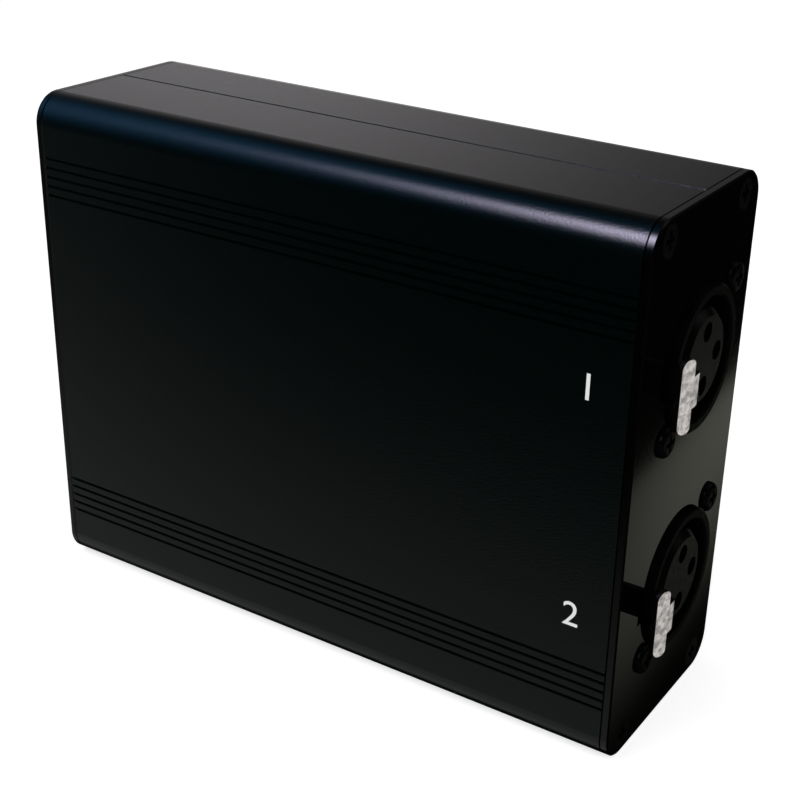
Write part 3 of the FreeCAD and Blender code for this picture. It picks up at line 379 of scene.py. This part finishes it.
class Surroundings(Shader):
    """What glossy surfaces mirror: soft glows laid over a dark room, told apart by direction."""

    def __init__(self):
        super().__init__("surroundings")
        place = self.add("TexCoord")
        self.towards = self.add("VectorMath", {0: (place, "Object")}, operation="NORMALIZE")
        self.total = None

    def along(self, turn, lift):
        """How far each direction leans to one direction, given by its turn and lift in degrees."""
        turn, lift = math.radians(turn), math.radians(lift)
        axis = (math.cos(lift) * math.cos(turn), math.cos(lift) * math.sin(turn), math.sin(lift))
        return self.add("VectorMath", {0: (self.towards, "Vector"), 1: axis}, operation="DOT_PRODUCT")

    def lay(self, shade):
        """Add one glow to the sum."""
        if self.total is None:
            self.total = (shade, "Vector")
            return
        both = self.add("VectorMath", {0: self.total, 1: (shade, "Vector")}, operation="ADD")
        self.total = (both, "Vector")

    def glow(self, turn, lift, spread, colour, strength):
        """Round soft glow about a direction. Its spread is in degrees."""
        lean = self.add("Math", {0: (self.along(turn, lift), "Value"), 1: 0.0}, operation="MAXIMUM")
        fall = self.add("Math", {0: (lean, "Value"), 1: 1 / math.radians(spread) ** 2}, operation="POWER")
        shade = self.add("VectorMath", {0: tuple(part * strength for part in colour),
                                        "Scale": (fall, "Value")}, operation="SCALE")
        self.lay(shade)

    def field(self, colour, sides):
        """Even glow that ends softly at each side: a turn and a lift, and where it is dark and full."""
        share = None
        for turn, lift, dark, full in sides:
            side = self.rise(self.along(turn, lift), "Value", dark, full, interpolation_type="SMOOTHSTEP")
            if share is None:
                share = (side, "Result")
            else:
                share = (self.add("Math", {0: share, 1: (side, "Result")}, operation="MULTIPLY"), "Value")
        shade = self.add("VectorMath", {0: colour, "Scale": share}, operation="SCALE")
        self.lay(shade)

    def finish(self):
        """Send the sum out as light."""
        light = self.add("Emission", {"Color": self.total})
        out = [node for node in self.tree.nodes if node.type == "OUTPUT_MATERIAL"][0]
        self.tree.links.new(light.outputs["Emission"], out.inputs["Surface"])
        self.tree.nodes.remove(self.surface)


def make_surroundings():
    """Great ball round the stage that only glossy surfaces see."""
    bm = bmesh.new()
    bmesh.ops.create_icosphere(bm, subdivisions=4, radius=BALL_RADIUS)
    mesh = bpy.data.meshes.new("surroundings")
    bm.to_mesh(mesh)
    bm.free()
    ball = add_object("surroundings", mesh)
    shader = Surroundings()
    for turn, lift in WINDOW_PLACES:
        shader.glow(turn, lift, WINDOW_SPREAD, WINDOW_COLOUR, WINDOW_GLOW)
    shader.glow(*SKY_PLACE, SKY_SPREAD, SKY_COLOUR, SKY_GLOW)
    for turn, lift, spread, colour in BACK_GLOWS:
        shader.glow(turn, lift, spread, colour, BACK_GLOW)
    shader.field(TABLE_COLOUR, TABLE_SIDES)
    shader.field(RIGHT_COLOUR, RIGHT_SIDES)
    for turn in LOW_TURNS:
        shader.glow(turn, LOW_LIFT, LOW_SPREAD, ROUND_COLOUR, ROUND_GLOW)
    for turn, lift in SMALL_PLACES:
        shader.glow(turn, lift, SMALL_SPREAD, ROUND_COLOUR, ROUND_GLOW)
    shader.finish()
    shader.material.cycles.emission_sampling = "NONE"
    mesh.materials.append(shader.material)
    ball.visible_camera = False
    ball.visible_diffuse = False
    ball.visible_transmission = False
    ball.visible_shadow = False


def make_world():
    """White backdrop for the camera, and a dimmer room for matt surfaces."""
    world = bpy.data.worlds.new("studio")
    bpy.context.scene.world = world
    world.use_nodes = True
    tree = world.node_tree
    shown = tree.nodes["Background"]
    room = tree.nodes.new("ShaderNodeBackground")
    for layer, strength in ((shown, BACKDROP_LIGHT), (room, ROOM_LIGHT)):
        layer.inputs["Strength"].default_value = strength
        layer.inputs["Color"].default_value = (1, 1, 1, 1)
    rays = tree.nodes.new("ShaderNodeLightPath")
    mix = tree.nodes.new("ShaderNodeMixShader")
    tree.links.new(rays.outputs["Is Camera Ray"], mix.inputs["Fac"])
    tree.links.new(room.outputs["Background"], mix.inputs[1])
    tree.links.new(shown.outputs["Background"], mix.inputs[2])
    tree.links.new(mix.outputs["Shader"], tree.nodes["World Output"].inputs["Surface"])
    world.cycles_visibility.glossy = False


def make_light(name, place, target, side, power):
    """Soft square light that points at a target and isn't mirrored."""
    data = bpy.data.lights.new(name, "AREA")
    data.shape = "SQUARE"
    data.size = side
    data.energy = power
    light = add_object(name, data)
    light.location = place
    aim = Vector(target) - Vector(place)
    light.rotation_euler = aim.to_track_quat("-Z", "Y").to_euler()
    light.visible_glossy = False


bpy.context.scene.view_settings.view_transform = "Standard"
make_camera()
dress_nodes(make_materials())
number_sockets()
quiet_sockets()
make_floor()
make_surroundings()
make_world()
make_light("key", *KEY_LIGHT)
make_light("side", *SIDE_LIGHT)
